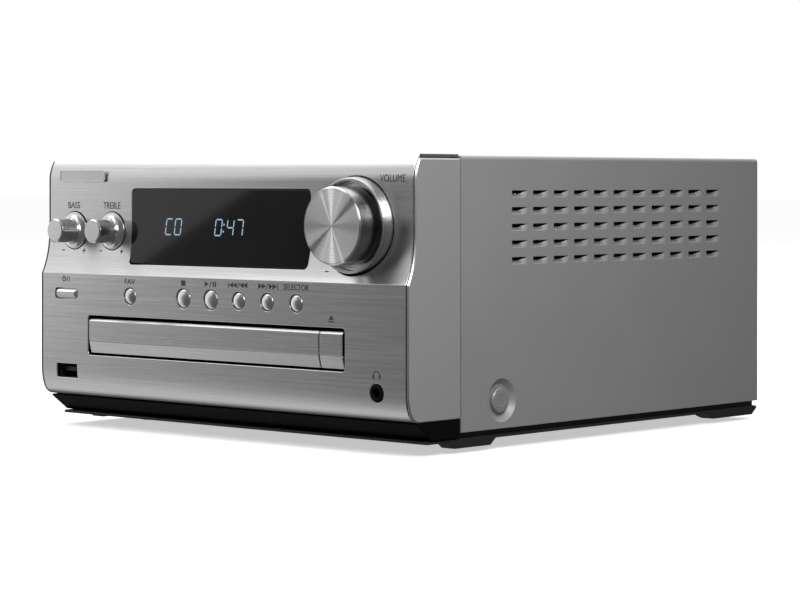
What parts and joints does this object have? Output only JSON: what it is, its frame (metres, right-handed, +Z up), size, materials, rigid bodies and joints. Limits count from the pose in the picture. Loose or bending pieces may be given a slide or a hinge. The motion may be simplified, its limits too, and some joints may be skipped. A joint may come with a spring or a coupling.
{
  "type": "mini hi-fi compact disc receiver",
  "caption": "Compact hi-fi main unit: brushed front with drawer, display window, tone and volume knobs, push buttons, vented wraparound cover and rear terminals.",
  "frame": {"origin": "on the surface it stands on, below the middle of the overall box from the volume knob's face to the ends of the terminal posts", "axes": "+X to the right seen from the front, +Y from the front panel to the rear, +Z up"},
  "size_m": [0.211, 0.264, 0.114],
  "materials": {
    "brushed_panel": "horizontally brushed, clear satin anodised",
    "spun_metal": "spun and polished aluminium",
    "button_metal": "satin chrome-plated plastic",
    "cheek_paint": "smooth matt grey paint",
    "cover_paint": "fine-textured silver-grey powder coat",
    "black_plastic": "matt black moulding",
    "dark_plastic": "dark grey moulding",
    "window_gloss": "polished black acrylic",
    "black_steel": "semi-matt black painted steel",
    "bare_metal": "plain plated steel",
    "board_green": "solder-masked circuit board",
    "white_plastic": "natural acetal",
    "foot_rubber": "matt black rubber"
  },
  "bodies": {
    "chassis": {"front_panel": "brushed_panel", "volume_collar": "spun_metal", "name_plate": "spun_metal", "cheek_left": "cheek_paint", "cheek_right": "cheek_paint", "top_cover": "cover_paint", "side_screw_left": "cover_paint", "side_screw_right": "cover_paint", "plinth": "black_plastic", "fascia_frame": "black_plastic", "mains_inlet": "black_plastic", "terminal_block": "black_plastic", "rear_sockets": "black_plastic", "headphone_jack": "black_plastic", "loader_frame": "dark_plastic", "display_module": "dark_plastic", "display_window": "window_gloss", "bottom_chassis": "black_steel", "rear_panel": "black_steel", "heatsink": "black_steel", "volume_encoder": "bare_metal", "bass_pot": "bare_metal", "treble_pot": "bare_metal", "loading_motor": "bare_metal", "transformer": "bare_metal", "usb_socket": "bare_metal", "front_board": "board_green", "main_board": "board_green", "foot_front_left": "foot_rubber", "foot_front_right": "foot_rubber", "foot_rear_left": "foot_rubber", "foot_rear_right": "foot_rubber"},
    "volume": {"volume_knob": "spun_metal"},
    "bass": {"bass_knob": "spun_metal"},
    "treble": {"treble_knob": "spun_metal"},
    "standby": {"standby_button": "button_metal"},
    "favourite": {"favourite_button": "button_metal"},
    "stop": {"stop_button": "button_metal"},
    "play": {"play_button": "button_metal"},
    "skip_back": {"skip_back_button": "button_metal"},
    "skip_forward": {"skip_forward_button": "button_metal"},
    "selector": {"selector_button": "button_metal"},
    "eject": {"eject_button": "brushed_panel"},
    "tray": {"disc_tray": "black_plastic", "tray_front": "brushed_panel"},
    "loading_gear": {"loading_gear": "white_plastic"},
    "motor_pinion": {"motor_pinion": "white_plastic"},
    "clamper": {"disc_clamper": "dark_plastic"},
    "traverse": {"traverse_plate": "bare_metal", "spindle_motor": "bare_metal", "guide_rod_left": "bare_metal", "guide_rod_right": "bare_metal", "sled_motor": "bare_metal"},
    "turntable": {"turntable": "dark_plastic"},
    "pickup": {"optical_pickup": "dark_plastic"},
    "sled_gear": {"sled_gear": "white_plastic"},
    "post_cap_1": {"post_cap_1": "dark_plastic"},
    "post_cap_2": {"post_cap_2": "dark_plastic"},
    "post_cap_3": {"post_cap_3": "dark_plastic"},
    "post_cap_4": {"post_cap_4": "dark_plastic"}
  },
  "joints": [
    {"name": "volume_turn", "type": "hinge", "parent": "chassis", "child": "volume", "pos_m": [0.0753, -0.132, 0.0867], "axis": [0, 1, 0], "continuous": true},
    {"name": "bass_turn", "type": "hinge", "parent": "chassis", "child": "bass", "pos_m": [-0.088, -0.1295, 0.0829], "axis": [0, 1, 0], "range_deg": [-240, 60]},
    {"name": "treble_turn", "type": "hinge", "parent": "chassis", "child": "treble", "pos_m": [-0.0643, -0.1295, 0.0829], "axis": [0, 1, 0], "range_deg": [-150, 150]},
    {"name": "standby_press", "type": "slide", "parent": "chassis", "child": "standby", "axis": [0, 1, 0], "range_m": [0, 0.0008], "stiffness_N_per_m": 700, "springref_m": -0.001},
    {"name": "favourite_press", "type": "slide", "parent": "chassis", "child": "favourite", "axis": [0, 1, 0], "range_m": [0, 0.0008], "stiffness_N_per_m": 700, "springref_m": -0.001},
    {"name": "stop_press", "type": "slide", "parent": "chassis", "child": "stop", "axis": [0, 1, 0], "range_m": [0, 0.0008], "stiffness_N_per_m": 700, "springref_m": -0.001},
    {"name": "play_press", "type": "slide", "parent": "chassis", "child": "play", "axis": [0, 1, 0], "range_m": [0, 0.0008], "stiffness_N_per_m": 700, "springref_m": -0.001},
    {"name": "skip_back_press", "type": "slide", "parent": "chassis", "child": "skip_back", "axis": [0, 1, 0], "range_m": [0, 0.0008], "stiffness_N_per_m": 700, "springref_m": -0.001},
    {"name": "skip_forward_press", "type": "slide", "parent": "chassis", "child": "skip_forward", "axis": [0, 1, 0], "range_m": [0, 0.0008], "stiffness_N_per_m": 700, "springref_m": -0.001},
    {"name": "selector_press", "type": "slide", "parent": "chassis", "child": "selector", "axis": [0, 1, 0], "range_m": [0, 0.0008], "stiffness_N_per_m": 700, "springref_m": -0.001},
    {"name": "eject_press", "type": "slide", "parent": "chassis", "child": "eject", "axis": [0, 1, 0], "range_m": [0, 0.0008], "stiffness_N_per_m": 700, "springref_m": -0.001},
    {"name": "tray_slide", "type": "slide", "parent": "chassis", "child": "tray", "axis": [0, -1, 0], "range_m": [0, 0.128]},
    {"name": "loading_gear_spin", "type": "hinge", "parent": "chassis", "child": "loading_gear", "pos_m": [-0.0497, -0.0962, 0.027], "axis": [0, 0, 1], "range_deg": [-5, 845]},
    {"name": "motor_pinion_spin", "type": "hinge", "parent": "chassis", "child": "motor_pinion", "pos_m": [-0.0322, -0.0962, 0.027], "axis": [0, 0, 1], "range_deg": [-2110, 5]},
    {"name": "traverse_tilt", "type": "hinge", "parent": "chassis", "child": "traverse", "pos_m": [0, 0.0258, 0.026], "axis": [1, 0, 0], "range_deg": [0, 5]},
    {"name": "turntable_spin", "type": "hinge", "parent": "traverse", "child": "turntable", "pos_m": [-0.00735, -0.0542, 0.0384], "axis": [0, 0, 1], "continuous": true},
    {"name": "pickup_slide", "type": "slide", "parent": "traverse", "child": "pickup", "axis": [0, 1, 0], "range_m": [0, 0.034]},
    {"name": "sled_gear_spin", "type": "hinge", "parent": "traverse", "child": "sled_gear", "pos_m": [0.02605, -0.0122, 0.0298], "axis": [0, 0, 1], "range_deg": [-310, 5]},
    {"name": "clamper_spin", "type": "hinge", "parent": "chassis", "child": "clamper", "pos_m": [-0.00735, -0.0542, 0.045], "axis": [0, 0, 1], "continuous": true},
    {"name": "post_cap_1_turn", "type": "hinge", "parent": "chassis", "child": "post_cap_1", "pos_m": [-0.035, 0.1238, 0.03], "axis": [0, 1, 0], "range_deg": [0, 720]},
    {"name": "post_cap_2_turn", "type": "hinge", "parent": "chassis", "child": "post_cap_2", "pos_m": [-0.017, 0.1238, 0.03], "axis": [0, 1, 0], "range_deg": [0, 720]},
    {"name": "post_cap_3_turn", "type": "hinge", "parent": "chassis", "child": "post_cap_3", "pos_m": [0.001, 0.1238, 0.03], "axis": [0, 1, 0], "range_deg": [0, 720]},
    {"name": "post_cap_4_turn", "type": "hinge", "parent": "chassis", "child": "post_cap_4", "pos_m": [0.019, 0.1238, 0.03], "axis": [0, 1, 0], "range_deg": [0, 720]}
  ],
  "couplings": [
    {"joint": "loading_gear_spin", "follows": "tray_slide", "rad_per_m": 114.29},
    {"joint": "motor_pinion_spin", "follows": "tray_slide", "rad_per_m": -285.71},
    {"joint": "sled_gear_spin", "follows": "pickup_slide", "rad_per_m": -156.25},
    {"joint": "clamper_spin", "follows": "turntable_spin", "ratio": 1}
  ]
}
